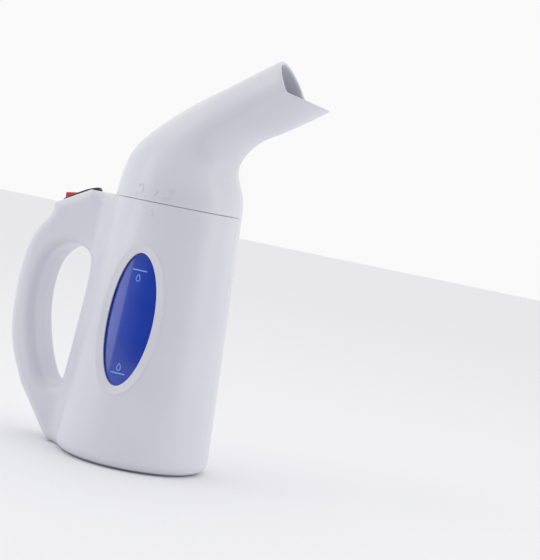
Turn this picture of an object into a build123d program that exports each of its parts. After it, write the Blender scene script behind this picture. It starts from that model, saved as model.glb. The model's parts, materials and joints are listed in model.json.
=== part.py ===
"""Hand-held garment steamer.

Frame: +Z up, origin on the tank's axis at the surface it stands on. +X is the nozzle side and -X the handle.
"Right" is the -Y half, "left" the +Y half, as held with the nozzle forward. All sizes in millimetres.
"""

from build123d import *
import math
import os

os.makedirs("parts", exist_ok=True)

# ------------------------------------------------------------------ driving sizes
# round body
seam_z = 151.0          # height of the seam between body and head
seam_r = 37.2
base_r = 45.6
base_edge = 6.0         # rounding round the bottom
floor_gap = 0.8         # the body hangs this far above the standing ring
wall = 2.4
fit_gap = 0.3           # clearance of a piece that drops into another

# handle
handle_w = 30.0
handle_edge = 6.0
handle_wall = 3.0
blend_r = 6.0           # soft joint between handle and body
ledge_reach = 6.3       # flat ledge behind the seam
ledge_drop = 0.8
# (reach beyond the body's wall, share of the ledge's height) down the back, and round the finger hole
back_curve = [(37.4, 0.895), (43.9, 0.819), (48.7, 0.686), (48.5, 0.533), (43.7, 0.36), (30.8, 0.196)]
finger_hole = [(17.0, 0.784), (29.8, 0.739), (35.2, 0.619), (33.2, 0.486), (28.6, 0.386), (21.8, 0.286),
               (12.6, 0.223), (2.8, 0.216), (-7.3, 0.28), (-10.4, 0.499), (-6.8, 0.688), (3.2, 0.772)]
heel_reach = 6.2        # where the handle's back meets the bottom

# screws that hold the halves: (reach beyond the body's wall, share of the ledge's height), then (x, height above
# the bottom edge)
top_screw = (39.2, 0.779)
low_screw = (25.4, 0.217)
front_screw = (32.8, 14.2)
middle_screw = (2.0, 8.2)

# window
window_z = 84.0
window_h = 76.5
window_w = 31.0
window_bevel = 4.0

# switch
platform_reach = 13.8   # front edge of the sloping platform, beyond the body's wall
platform_rise = 1.3     # and above the seam
platform_tilt = 27.9    # degrees
platform_margin = 1.1   # platform beyond the bezel at each end
bezel_l, bezel_w, bezel_t = 25.0, 15.5, 1.6
switch_l, switch_w, switch_deep = 21.0, 12.6, 18.0
rocker_r, rocker_w = 9.3, 9.0
rocker_gap = 0.35
rocker_throw = 20.0     # degrees
pivot_drop = 0.2        # pivot below the platform
rocker_crown = 0.5      # middle of its top above the bezel
rocker_dip = 1.0        # degrees that the lowered face slopes down
pin_r = 1.0
terminal_w, terminal_t, terminal_l = 4.8, 0.8, 6.5
terminal_pitch = 10.0

# steam head: neck (x, rise above the seam, share of the seam's half height, share of its half width, tilt)
neck = [(-0.2, 11.5, 0.934, 0.94, 1.0), (-0.5, 25.0, 0.698, 0.75, 5.0), (4.4, 36.0, 0.43, 0.5, 11.0),
        (16.2, 48.9, 0.175, 0.27, 21.0), (31.2, 60.0, -0.01, 0.08, 39.5), (49.4, 71.9, 0.0, 0.0, 56.0)]
nozzle_h = 38.0
nozzle_w = 34.0
nozzle_run = 34.0       # from the last neck section to past the lower lip
head_wall = 2.6
seam_gap = 0.3
upper_lip = (47.2, 92.6)    # x and rise above the seam
mouth_corner = (57.8, 74.6)
lower_lip = (80.3, 69.3)

# heater and tank
tank_floor_z = 36.0
tank_floor_t = 5.0
tank_wall = 1.8
tank_gap = 0.5
tank_mouth_r = 28.3     # inside of the tank's neck
tank_neck_wall = 2.2
tank_neck_h = 6.0
shelf_t = 2.0           # ring in the housing that carries the tank
shelf_r = 37.5
plate_r, plate_t = 33.0, 6.0
plate_hole_r = 24.0     # opening in the tank's floor over the plate
gasket_in, gasket_out, gasket_t = 26.0, 28.5, 1.2
element_ring_r, element_r = 20.0, 3.3
element_gap_deg = 50.0  # opening of its horseshoe, at the back
element_pin_r, element_pin_l = 1.5, 8.0
heater_screw_r = 30.8
heater_screws_n = 6
thermostat_r, thermostat_h = 8.0, 8.0
fuse_r, fuse_l, fuse_y = 1.9, 8.0, 11.3
lead_r = 0.9

# filler collar, lock ring and head seal
collar_bore_r = 25.0
collar_out_r = 32.5
collar_skirt_r = 28.0
collar_drop = 0.4       # top below the seam
collar_flange_t = 3.0
groove_r, groove_h = 28.0, 3.3
groove_lip = 6.7        # solid lip over the bayonet groove
skirt_h = 12.0
collar_ring_t = 1.0
ring_out_r, ring_in_r = 24.6, 22.0
lug_r, lug_h, lug_deg = 27.6, 2.8, 30.0
lug_play = 0.25
lugs_n = 3
twist_open = 32.0       # degrees from locked to open
seal_t = 1.4
seal_out_r = 31.6
ring_flange_t = 2.0
ring_gap = 1.6          # lock ring's flange to the head's wall
baffle_t, baffle_r = 1.5, 31.0
baffle_hole_r = 1.6

# base cover and screws
cover_r, cover_t = 38.6, 3.2
foot_out_r, foot_in_r = 38.2, 35.8
lip_t = 2.4             # housing lip round the cover
base_screw_r = 31.5
boss_r = 3.2
screw_r, pilot_r, screw_head_r, screw_head_h = 1.5, 1.2, 2.7, 2.0
clear_r = 1.75
head_clear_r = 3.0
side_screw_depth = 8.0  # head seat of the side screws from the mid-plane
base_boss_h = 9.0

# cord entry
entry_z = 9.0
grommet_r, grommet_bore_r, grommet_l = 5.5, 3.4, 8.0
grommet_flange_r, grommet_flange_t = 7.3, 1.8
clamp_deep = 16.0       # clamp's middle behind the grommet's face
clamp_l, clamp_w, clamp_t = 20.4, 7.0, 2.2
clamp_pitch = 8.0
clamp_boss_r = 2.7
clamp_low_y, clamp_high_y = -3.0, 3.2
block_l, block_w, block_h = 16.0, 9.0, 9.0

# ------------------------------------------------------------------ places worked out from the sizes
far = 400.0             # longer than any piece: for half spaces and through cuts
ledge_z = seam_z - ledge_drop
head_z = seam_z + seam_gap
tank_floor_top = tank_floor_z + tank_floor_t
collar_top = seam_z - collar_drop
groove_top = collar_top - groove_lip
groove_bottom = groove_top - groove_h
collar_flange_bottom = groove_bottom - collar_flange_t
tank_top = collar_flange_bottom - collar_ring_t
shoulder_z = tank_top - tank_neck_h
cover_top = floor_gap + cover_t
element_z = tank_floor_z - plate_t
element_pin_z = element_z - element_pin_l
element_x = -element_ring_r * math.cos(math.radians(element_gap_deg / 2))
element_y = element_ring_r * math.sin(math.radians(element_gap_deg / 2))


def body_r(z):
    """Outside radius of the round body at height z."""
    return base_r + (seam_r - base_r) * z / seam_z


def behind(reach, share):
    """A point of the handle, from its reach beyond the body's wall and its share of the ledge's height."""
    z = share * ledge_z
    return (-(body_r(z) + reach), z)


def turned(profile):
    """A solid of revolution from (radius, height) points."""
    with BuildPart() as part:
        with BuildSketch(Plane.XZ):
            with BuildLine():
                Polyline(*profile, close=True)
            make_face()
        revolve(axis=Axis.Z)
    return part.part


def tube(r_out, r_in, z0, z1):
    """An upright ring, or a disc where the inner radius is 0."""
    return turned([(r_in, z0), (r_out, z0), (r_out, z1), (r_in, z1)])


def rod(start, direction, radius, length):
    """A round bar from a point along a direction."""
    base = Plane(origin=start, z_dir=direction)
    return extrude(base * Circle(radius), amount=length)


def across(x, z, radius, y0, y1):
    """A round bar along Y at a place in the side view."""
    return rod((x, y0, z), (0, 1, 0), radius, y1 - y0)


def block(x0, x1, y0, y1, z0, z1):
    """A plain box between two corners."""
    size = Box(x1 - x0, y1 - y0, z1 - z0)
    return Pos((x0 + x1) / 2, (y0 + y1) / 2, (z0 + z1) / 2) * size


def side_plate(face, half_width):
    """A side-view face made solid, evenly about the mid-plane."""
    return extrude(face, amount=half_width, both=True)


def half(solid, side):
    """The part of a solid on one side of the mid-plane: side is 1 for +Y and -1 for -Y."""
    space = block(-far, far, min(0, side * far), max(0, side * far), -far, far)
    return solid & space


def screw(start, direction, length):
    """A pan-head screw: start is under its head, and direction points along its shank."""
    back = Vector(*direction) * -screw_head_h
    head = rod(Vector(*start) + back, direction, screw_head_r, screw_head_h)
    slot = rod(Vector(*start) + back, direction, screw_head_r * 0.45, screw_head_h * 0.5)
    return head - slot + rod(start, direction, screw_r - 0.35, length)


# ------------------------------------------------------------------ housing
platform_front = (-(seam_r + platform_reach), seam_z + platform_rise)
platform_l = bezel_l + 2 * platform_margin
slope = math.radians(platform_tilt)
platform_rear = (platform_front[0] - platform_l * math.cos(slope), platform_front[1] - platform_l * math.sin(slope))
switch_x = (platform_front[0] + platform_rear[0]) / 2
switch_z = (platform_front[1] + platform_rear[1]) / 2
# the switch's own frame: x down the slope to the rear, y across, z out of the platform
switch_frame = Plane(origin=(switch_x, 0, switch_z), x_dir=(-math.cos(slope), 0, -math.sin(slope)),
                     z_dir=(-math.sin(slope), 0, math.cos(slope)))
heel = (-(body_r(floor_gap) + heel_reach), floor_gap)
back_points = [behind(*p) for p in back_curve]
run = (heel[0] - back_points[-1][0], heel[1] - back_points[-1][1])
run_l = math.hypot(*run)
entry_in = (-run[1] / run_l, 0, run[0] / run_l)      # into the handle, square to its sloping back
entry_up = (-run[0] / run_l, 0, -run[1] / run_l)     # up along that back
entry_x = heel[0] + (entry_z - heel[1]) * run[0] / run[1]
entry = Vector(entry_x, 0, entry_z)


def handle_side():
    """The handle's outline in the side view, without its finger hole."""
    with BuildSketch(Plane.XZ) as sketch:
        with BuildLine():
            inner = -seam_r * 0.55
            Polyline((inner, floor_gap), (inner, ledge_z), (-(seam_r + ledge_reach), ledge_z), platform_front,
                     platform_rear, back_points[0])
            Spline(*back_points)
            Polyline(back_points[-1], heel, (inner, floor_gap))
        make_face()
    return sketch.sketch


def hole_side():
    """The finger hole's outline: a closed loop whose front part lies inside the body."""
    with BuildSketch(Plane.XZ) as sketch:
        with BuildLine():
            Spline(*[behind(*p) for p in finger_hole], periodic=True)
        make_face()
    return sketch.sketch


def body_solid():
    """The round body, as if it were full."""
    cone = turned([(0, floor_gap), (body_r(floor_gap), floor_gap), (seam_r, seam_z), (0, seam_z)])
    rims = cone.edges().filter_by(GeomType.CIRCLE).sort_by(Axis.Z)
    return fillet(rims[0], base_edge)


def handle_solid():
    """The handle, as if it were full, with its soft edges."""
    face = handle_side()
    plate = side_plate(face, handle_w / 2)
    on_side = [e for e in plate.edges() if abs(abs(e.center().Y) - handle_w / 2) < 1e-3]
    plate = fillet([e for e in on_side if e.center().X < -body_r(0) - 4.4], handle_edge)
    plate -= side_plate(hole_side(), handle_w)
    loops = [e for e in plate.edges().filter_by(GeomType.BSPLINE)
             if abs(abs(e.center().Y) - handle_w / 2) < 1e-3 and e.length > 3 * handle_w]
    return fillet(loops, handle_edge + 0.5)


def outer_solid():
    """Body and handle in one, blended."""
    whole = body_solid() + handle_solid()
    return fillet(whole.edges().filter_by(GeomType.HYPERBOLA), blend_r)


def body_space():
    """Room inside the round body, under its top wall."""
    top = seam_z - wall
    low = floor_gap + lip_t
    space = turned([(0, low), (body_r(low) - wall - 2.2, low), (body_r(low + 3) - wall, low + 3),
                    (body_r(top) - wall, top), (0, top)])
    return space


def beside(curve, amount, steps, closed=False):
    """Points at a distance to the left of a side-view curve's run, or to its right where the amount is negative."""
    points = []
    for i in range(steps if closed else steps + 1):
        at, along = curve @ (i / steps), curve % (i / steps)
        points.append((at.X - along.Z * amount, at.Z + along.X * amount))
    return points


def side_curve(points, closed=False):
    """A smooth curve through side-view points."""
    return Spline(*[Vector(x, 0, z) for x, z in points], periodic=closed)


def handle_space():
    """Room inside the handle, open to the body above and below the finger hole."""
    inner = -seam_r * 0.55
    under = (math.sin(slope) * handle_wall, -math.cos(slope) * handle_wall)
    top_z = ledge_z - handle_wall
    low_z = floor_gap + handle_wall
    front = (platform_front[0] + under[0], platform_front[1] + under[1])
    drop = front[1] - top_z
    back = beside(side_curve(back_points), handle_wall, 10)
    around = beside(side_curve([behind(*p) for p in finger_hole], closed=True), -handle_wall, 24, closed=True)
    heel_x = heel[0] + (low_z - heel[1]) * run[0] / run[1] + handle_wall / entry_in[0]
    with BuildSketch(Plane.XZ) as room:
        with BuildLine():
            Polyline(back[-1], (heel_x, low_z), (inner, low_z), (inner, top_z),
                     (front[0] - drop / math.tan(slope), top_z),
                     (platform_rear[0] + under[0], platform_rear[1] + under[1]), back[0])
            Spline(*back)
        make_face()
    with BuildSketch(Plane.XZ) as kept:
        with BuildLine():
            Spline(*around, periodic=True)
        make_face()
    return side_plate(room.sketch - kept.sketch, handle_w / 2 - handle_wall)


def window_cut():
    """A flared plug whose sides leave an even bevel round the oval window."""
    lean = math.atan2(base_r - seam_r, seam_z)
    reach = body_r(window_z)
    frame = Plane(origin=(0, -reach, window_z), x_dir=(1, 0, 0), z_dir=(0, -math.cos(lean), math.sin(lean)))
    half_w, half_h = window_w / 2, window_h / 2
    in_w = half_w - window_bevel
    depth_side = reach - math.sqrt(reach ** 2 - half_w ** 2)
    depth_in = reach - math.sqrt((reach - wall) ** 2 - in_w ** 2)
    flare_w = window_bevel / (depth_in - depth_side)
    flare_h = window_bevel / wall
    outer, inner = 1.0, depth_in + 1.0
    sections = [frame.offset(d) * Ellipse(half_w + flare_w * (d + depth_side), half_h + flare_h * d)
                for d in (outer, -inner)]
    return loft(sections, ruled=True)


def side_screw_places():
    """Where the halves are screwed together, in the side view."""
    low_pair = [(x, floor_gap + rise) for x, rise in (front_screw, middle_screw)]
    return [behind(*top_screw), behind(*low_screw)] + low_pair


def base_screw_places():
    """Where the cover is screwed on."""
    angles = [math.radians(45 + 90 * i) for i in range(4)]
    return [(base_screw_r * math.cos(a), base_screw_r * math.sin(a)) for a in angles]


def housing_whole():
    """Both halves in one, before the mid-plane cut."""
    outside = outer_solid()
    room = body_space() + handle_space()
    shell = outside - room
    inside = [across(x, z, boss_r, -far, far) for x, z in side_screw_places()]
    for x, y in base_screw_places():
        out = 1.0 if x > 0 else -1.0
        side = 1.0 if y > 0 else -1.0
        post = Pos(x, y, cover_top) * Cylinder(boss_r, base_boss_h, align=(Align.CENTER, Align.CENTER, Align.MIN))
        rib = block(min(x, x + out * far), max(x, x + out * far), y - 0.9, y + 0.9, cover_top, cover_top + base_boss_h)
        fin = block(x - 0.9, x + 0.9, min(y, y + side * far), max(y, y + side * far), cover_top,
                    cover_top + base_boss_h)
        inside += [post, rib, fin]
    inside.append(tube(far, shelf_r, tank_floor_z - shelf_t, tank_floor_z) & body_space())
    for piece in inside:
        shell += piece & room
    cuts = [tube(collar_out_r + fit_gap, 0, seam_z - wall - 1, seam_z + 1),
            tube(cover_r + fit_gap, 0, floor_gap - 1, cover_top),
            switch_frame * Box(switch_l + 0.6, switch_w + 0.6, 2 * switch_deep),
            rod(entry + Vector(*entry_in) * -3, entry_in, grommet_r + 0.1, 12)]
    for x, y in base_screw_places():
        cuts.append(Pos(x, y, cover_top - 1) * Cylinder(pilot_r, base_boss_h, align=(Align.CENTER, Align.CENTER,
                                                                                      Align.MIN)))
    for cut in cuts:
        shell -= cut
    return shell


def housing_half(whole, side):
    """One half, with its window, screw holes and, on the right, the cord clamp's seat."""
    part = half(whole, side)
    plug = window_cut()
    part -= plug if side < 0 else plug.mirror(Plane.XZ)
    for x, z in side_screw_places():
        if side > 0:
            part -= across(x, z, clear_r, -1, far)
            part -= across(x, z, head_clear_r, side_screw_depth, far)
        else:
            part -= across(x, z, pilot_r, -side_screw_depth - 2, 1)
    if side < 0:
        part += clamp_seat()
    return part


def clamp_frame():
    """Clamp's own frame: x along the cord inwards, y across, z up along the handle's back."""
    centre = entry + Vector(*entry_in) * clamp_deep
    return Plane(origin=centre, x_dir=entry_in, z_dir=entry_up)


def frame_side(frame):
    """1 where a side-view frame's own y axis points to +Y, and -1 where it points to -Y."""
    return 1 if frame.z_dir.cross(frame.x_dir).Y > 0 else -1


def clamp_seat():
    """Pad under the cord, with the two bosses that the clamp is screwed to."""
    inner = -(handle_w / 2 - handle_wall)
    frame = clamp_frame()
    flip = frame_side(frame)
    y0, y1 = sorted((flip * inner, flip * clamp_low_y))
    pad = frame * block(-5, 5, y0, y1, -clamp_l / 2, clamp_l / 2)
    seat = pad
    for s in (-1, 1):
        centre = frame.from_local_coords(Vector(0, 0, s * clamp_pitch))
        seat += across(centre.X, centre.Z, clamp_boss_r, inner, clamp_high_y)
        seat -= across(centre.X, centre.Z, pilot_r, inner + 2.0, clamp_high_y + 1)
    return seat


# ------------------------------------------------------------------ base
def base_cover():
    """Round bottom cover: recessed in the middle, standing on a ring, with sunk screw seats."""
    cover = tube(cover_r, 0, floor_gap, cover_top) + tube(foot_out_r, foot_in_r, 0, floor_gap)
    cover -= tube(foot_in_r - 7.5, 0, floor_gap, floor_gap + 1.0)
    for x, y in base_screw_places():
        cover -= Pos(x, y, 0) * Cylinder(clear_r, far)
        cover -= Pos(x, y, floor_gap) * Cylinder(head_clear_r, 2 * (screw_head_h + 0.2))
    x0, x1, y0, y1, z0 = block_corners()
    cover += block(x0 + 3, x1 - 3, y0 + 1.5, y1 - 1.5, cover_top, z0)
    return cover


def base_screws():
    return Compound([screw((x, y, floor_gap + screw_head_h + 0.2), (0, 0, 1), 8.0) for x, y in base_screw_places()])


def housing_screws():
    return Compound([screw((x, side_screw_depth, z), (0, -1, 0), 2 * side_screw_depth)
                     for x, z in side_screw_places()])


# ------------------------------------------------------------------ tank and heater
def water_tank():
    """Clear blue tank: a cone that follows the body's wall, a floor with an opening, and a short neck."""
    gap = wall + tank_gap
    low_r = body_r(tank_floor_z) - gap
    high_r = body_r(shoulder_z) - gap
    neck_r = tank_mouth_r + tank_neck_wall
    outside = turned([(0, tank_floor_z), (low_r, tank_floor_z), (high_r, shoulder_z), (neck_r, shoulder_z),
                      (neck_r, tank_top), (0, tank_top)])
    inside = turned([(0, tank_floor_top), (low_r - tank_wall, tank_floor_top),
                     (high_r - tank_wall, shoulder_z - tank_wall), (tank_mouth_r, shoulder_z - tank_wall),
                     (tank_mouth_r, far), (0, far)])
    tank = outside - inside - tube(plate_hole_r, 0, 0, tank_floor_top + 1)
    for x, y in heater_screw_places():
        tank -= Pos(x, y, tank_floor_z - 1) * Cylinder(pilot_r, 1 + tank_floor_t - 1.2,
                                                       align=(Align.CENTER, Align.CENTER, Align.MIN))
    return tank


def heater_screw_places():
    angles = [math.radians(30 + 360 / heater_screws_n * i) for i in range(heater_screws_n)]
    return [(heater_screw_r * math.cos(a), heater_screw_r * math.sin(a)) for a in angles]


def element_ring(radius):
    """The element's horseshoe, at a given tube radius."""
    start = 180 + element_gap_deg / 2
    circle = Plane.XZ * Pos(element_ring_r, element_z) * Circle(radius)
    ring = revolve(circle, axis=Axis.Z, revolution_arc=360 - element_gap_deg)
    return Rot(0, 0, start) * ring


def heater_plate():
    """Cast plate that closes the tank: a groove for the gasket above and one for the element below."""
    plate = tube(plate_r, 0, element_z, tank_floor_z) + tube(plate_hole_r - fit_gap, 0, tank_floor_z,
                                                             tank_floor_z + 2.5)
    plate -= tube(gasket_out, gasket_in, tank_floor_z - gasket_t, tank_floor_z)
    plate -= element_ring(element_r + 0.1)
    for s in (-1, 1):
        plate -= Pos(element_x, s * element_y, element_z) * Cylinder(element_r + 0.4, 2 * (element_r + 0.4))
    for x, y in heater_screw_places():
        plate -= Pos(x, y, 0) * Cylinder(clear_r, far)
    return plate


def heater_element():
    """Tubular element with its two connection pins."""
    element = element_ring(element_r)
    for s in (-1, 1):
        element += Pos(element_x, s * element_y, element_pin_z) * Cylinder(
            element_pin_r, element_pin_l, align=(Align.CENTER, Align.CENTER, Align.MIN))
    return element


def heater_gasket():
    return tube(gasket_out, gasket_in, tank_floor_z - gasket_t, tank_floor_z)


def heater_screws():
    return Compound([screw((x, y, element_z), (0, 0, 1), plate_t + tank_floor_t - 1.6)
                     for x, y in heater_screw_places()])


def thermostat():
    """Disc thermostat: metal cap on the plate, body and two blades under it."""
    cap = tube(thermostat_r, 0, element_z - 3, element_z)
    case = tube(thermostat_r - 0.5, 0, element_z - thermostat_h, element_z - 3)
    blades = [block(s * 5 - 0.4, s * 5 + 0.4, -2.4, 2.4, element_z - thermostat_h - 6, element_z - thermostat_h)
              for s in (-1, 1)]
    return cap + case + blades[0] + blades[1]


def thermal_fuse():
    """Sleeved fuse across the plate, with its wire ends."""
    z = element_z - fuse_r
    return rod((-fuse_l / 2, fuse_y, z), (1, 0, 0), fuse_r, fuse_l) + rod(
        (-fuse_l / 2 - 3, fuse_y, z), (1, 0, 0), 0.5, fuse_l + 6)


def fuse_bracket():
    """Strap over the fuse, standing on the plate with a foot on each side."""
    low = element_z - 2 * fuse_r - 1.0
    strap = block(-2.5, 2.5, fuse_y - fuse_r - 1.1, fuse_y + fuse_r + 2.0, low, element_z)
    return strap - block(-far, far, fuse_y - fuse_r - 0.1, fuse_y + fuse_r + 0.1, low + 0.9, far)


# ------------------------------------------------------------------ switch
def switch_body():
    """Oval bezel with the box behind it, open for the rocker."""
    bezel = extrude(SlotOverall(bezel_l, bezel_w), amount=bezel_t)
    rim = bezel.edges().group_by(Axis.Z)[-1]
    bezel = fillet(rim, bezel_t * 0.45)
    box = Pos(0, 0, -switch_deep / 2) * Box(switch_l, switch_w, switch_deep)
    part = bezel + box
    pivot = Pos(0, 0, -pivot_drop) * Rot(90, 0, 0)
    part -= pivot * Cylinder(rocker_r + rocker_gap, rocker_w + 2 * rocker_gap)
    part -= pivot * Cylinder(pin_r + 0.15, rocker_w + 3.0)
    return switch_frame * part


def switch_rocker():
    """Rocker at rest: front face flush, rear face raised. Its ends are arcs about the pivot."""
    z_mid = pivot_drop + bezel_t + rocker_crown
    reach = rocker_r + 2
    low = -rocker_r * 0.35
    front_z = z_mid - reach * math.tan(math.radians(rocker_dip))
    rear_z = z_mid + reach * math.tan(math.radians(rocker_throw - rocker_dip))
    with BuildSketch(Plane.XZ) as side:
        with BuildLine():
            Polyline((-reach, low), (-reach, front_z), (0, z_mid), (reach, rear_z), (reach, low), close=True)
        make_face()
    part = side_plate(side.sketch, rocker_w / 2) & (Rot(90, 0, 0) * Cylinder(rocker_r, rocker_w))
    top = [e for e in part.edges() if abs(e.center().Z) > 0 and abs(abs(e.center().Y) - rocker_w / 2) < 1e-3
           and e.center().Z > z_mid * 0.8 and e.geom_type == GeomType.LINE]
    part = fillet(top, 0.5)
    part += Rot(90, 0, 0) * Cylinder(pin_r, rocker_w + 2.4)
    return switch_frame * Pos(0, 0, -pivot_drop) * part


def switch_terminals():
    blades = [block(s * terminal_pitch / 2 - terminal_t / 2, s * terminal_pitch / 2 + terminal_t / 2,
                    -terminal_w / 2, terminal_w / 2, -switch_deep - terminal_l, -switch_deep) for s in (-1, 1)]
    return Compound([switch_frame * blade for blade in blades])


# ------------------------------------------------------------------ cord entry
def cord_grommet():
    """Gland flush with the handle's back, with a flange inside the wall."""
    gland = rod(entry, entry_in, grommet_r, grommet_l)
    flange = rod(entry + Vector(*entry_in) * (handle_wall + 0.1), entry_in, grommet_flange_r, grommet_flange_t)
    bore = rod(entry - Vector(*entry_in), entry_in, grommet_bore_r, grommet_l + 2)
    return gland + flange - bore


def cord_clamp():
    """Bar that presses the cord on its pad."""
    frame = clamp_frame()
    flip = frame_side(frame)
    y0, y1 = sorted((flip * clamp_high_y, flip * (clamp_high_y + clamp_t)))
    bar = frame * block(-clamp_w / 2, clamp_w / 2, y0, y1, -clamp_l / 2, clamp_l / 2)
    for s in (-1, 1):
        centre = frame.from_local_coords(Vector(0, 0, s * clamp_pitch))
        bar -= across(centre.X, centre.Z, clear_r, -far, far)
    return bar


def cord_clamp_screws():
    screws = []
    for s in (-1, 1):
        centre = clamp_frame().from_local_coords(Vector(0, 0, s * clamp_pitch))
        screws.append(screw((centre.X, clamp_high_y + clamp_t, centre.Z), (0, -1, 0), 11.0))
    return Compound(screws)


def block_corners():
    """Terminal block's low corner and sizes in plan, and its underside."""
    x1 = element_x + 0.1
    return x1 - block_l, x1, -block_w / 2, block_w / 2, cover_top + 4.5


def terminal_block():
    """Two-pole block with its clamping screws' holes and wire holes."""
    x0, x1, y0, y1, z0 = block_corners()
    part = block(x0, x1, y0, y1, z0, z0 + block_h)
    for x in (x0 + block_l * 0.25, x0 + block_l * 0.75):
        part -= Pos(x, 0, z0 + block_h) * Cylinder(1.6, 2 * block_h * 0.3)
        part -= across(x, z0 + block_h * 0.4, lead_r + 0.15, y0 - 1, y1 + 1)
    return part


# ------------------------------------------------------------------ collar, lock ring and head
def sector(r_out, r_in, z0, z1, middle, width):
    """Part of a ring: width degrees of it, about a middle direction in degrees."""
    with BuildPart() as part:
        with BuildSketch(Plane.XZ):
            with BuildLine():
                Polyline((r_in, z0), (r_out, z0), (r_out, z1), (r_in, z1), close=True)
            make_face()
        revolve(axis=Axis.Z, revolution_arc=width)
    solid = part.part
    bearing = math.degrees(math.atan2(solid.center().Y, solid.center().X))
    return Rot(0, 0, middle - bearing) * solid


def lug_angles():
    """Middle of each lug with the head locked."""
    return [90 + 360 / lugs_n * i for i in range(lugs_n)]


def filler_collar():
    """Filler ring under the body's top wall: bayonet groove, its entry slots, a flange and a skirt in the tank."""
    collar = turned([(collar_bore_r, collar_flange_bottom - skirt_h), (collar_skirt_r, collar_flange_bottom - skirt_h),
                     (collar_skirt_r, collar_flange_bottom), (collar_out_r, collar_flange_bottom),
                     (collar_out_r, collar_top), (collar_bore_r, collar_top)])
    collar -= tube(groove_r, collar_bore_r - 1, groove_bottom, groove_top)
    for middle in lug_angles():
        collar -= sector(groove_r, collar_bore_r - 1, groove_top - 1, collar_top + 1, middle + twist_open,
                         lug_deg + 4)
    return collar


def collar_ring():
    """Flat silicone ring between the collar's flange and the tank's neck."""
    return tube(tank_mouth_r + tank_neck_wall, collar_skirt_r + 0.1, tank_top, collar_flange_bottom)


def head_lock_ring():
    """Ring in the head's foot, with a short tube that drops in the collar and carries the bayonet lugs."""
    low = groove_bottom + lug_play
    ring = tube(ring_out_r, ring_in_r, low, head_z + 1)
    ring += tube(seam_r - head_wall - ring_gap, ring_in_r, collar_top + seal_t, collar_top + seal_t + ring_flange_t)
    for middle in lug_angles():
        ring += sector(lug_r, ring_in_r + 1, low, low + lug_h, middle, lug_deg)
    return ring


def head_seal():
    """Silicone ring round the lock ring's tube, pressed on the collar."""
    return tube(seal_out_r, ring_out_r + 0.3, collar_top, collar_top + seal_t)


def splash_baffle():
    """Dished disc with steam holes that keeps drops of water out of the neck."""
    low = collar_top + seal_t + ring_flange_t
    baffle = tube(baffle_r, 0, low, low + baffle_t) + tube(ring_in_r, ring_in_r - 1.4, low, low + 6)
    baffle -= tube(ring_in_r - 1.4, 0, low - 1, low + baffle_t + 0.01)
    baffle += tube(ring_in_r - 0.5, 0, low + 6 - baffle_t, low + 6)
    for count, radius in ((6, 8.0), (12, 15.0)):
        for i in range(count):
            a = 2 * math.pi * i / count
            baffle -= Pos(radius * math.cos(a), radius * math.sin(a), 0) * Cylinder(baffle_hole_r, far)
    return baffle


def neck_section(x, rise, half_h, half_w, tilt, inset=0.0):
    """The +Y half of one oval of the neck, inset for the inside of its wall."""
    t = math.radians(tilt)
    frame = Plane(origin=(x, 0, head_z + rise), x_dir=(math.cos(t), 0, -math.sin(t)),
                  z_dir=(math.sin(t), 0, math.cos(t)))
    h, w = half_h - inset, half_w - inset
    flip = 1 if frame.y_dir.Y > 0 else -1
    points = [(h * math.cos(math.pi * i / 8), flip * w * math.sin(math.pi * i / 8)) for i in range(9)]
    with BuildSketch() as oval:
        with BuildLine():
            Spline(*points, tangents=[(0, flip), (0, -flip)])
            Line(points[-1], points[0])
        make_face()
    return frame * oval.sketch


def neck_half(inset=0.0):
    """The neck's +Y half as a full solid, from the seam to past the lower lip."""
    end_h, end_w = nozzle_h / 2, nozzle_w / 2
    sections = [neck_section(0, 0, seam_r, seam_r, 0, inset)]
    for x, rise, share_h, share_w, tilt in neck:
        sections.append(neck_section(x, rise, end_h + (seam_r - end_h) * share_h, end_w + (seam_r - end_w) * share_w,
                                     tilt, inset))
    x, rise, tilt = neck[-1][0], neck[-1][1], math.radians(neck[-1][4])
    for step in (0.5 * nozzle_run, nozzle_run):
        sections.append(neck_section(x + step * math.sin(tilt), rise + step * math.cos(tilt), end_h, end_w,
                                     neck[-1][4], inset))
    return loft(sections)


def mouth_cut():
    """What the V of the mouth takes away: everything beyond a line from the upper lip to the corner to the lower."""
    def beyond(tip, base, reach):
        length = math.hypot(tip[0] - base[0], tip[1] - base[1])
        return (tip[0] + (tip[0] - base[0]) * reach / length, tip[1] + (tip[1] - base[1]) * reach / length)
    top = beyond(upper_lip, mouth_corner, 30)
    low = beyond(lower_lip, mouth_corner, 30)
    outline = [(x, head_z + rise) for x, rise in (top, mouth_corner, low, (low[0] + 40, top[1] + 40))]
    with BuildSketch(Plane.XZ) as sketch:
        with BuildLine():
            Polyline(*outline, close=True)
        make_face()
    return side_plate(sketch.sketch, nozzle_w)


def head_shell(side):
    shell = neck_half() - neck_half(head_wall) - mouth_cut()
    return shell if side > 0 else shell.mirror(Plane.XZ)


# ------------------------------------------------------------------ leads
def lead(points, radius=lead_r):
    """A wire through a list of points, each corner rounded as far as its runs allow."""
    path_points = [Vector(*p) for p in points]
    radii = []
    for a, b, c in zip(path_points, path_points[1:], path_points[2:]):
        angle = math.radians((b - a).get_angle(c - b))
        radii.append(0.45 * min((b - a).length, (c - b).length) / math.tan(angle / 2))
    path = FilletPolyline(*path_points, radius=radii)
    start = Plane(origin=path @ 0, z_dir=path % 0)
    return sweep(start * Circle(radius), path=path)


def x_at(curve, z):
    """Where a side-view curve crosses a height."""
    nearest = min((abs((curve @ (i / 200)).Z - z), i / 200) for i in range(201))[1]
    return (curve @ nearest).X


def grip_middle(share, y):
    """A point midway between the finger hole and the handle's back."""
    z = share * ledge_z
    back = side_curve(back_points)
    hole = side_curve([behind(*p) for p in finger_hole[1:7]])
    return ((x_at(back, z) + x_at(hole, z)) / 2, y, z)


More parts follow.
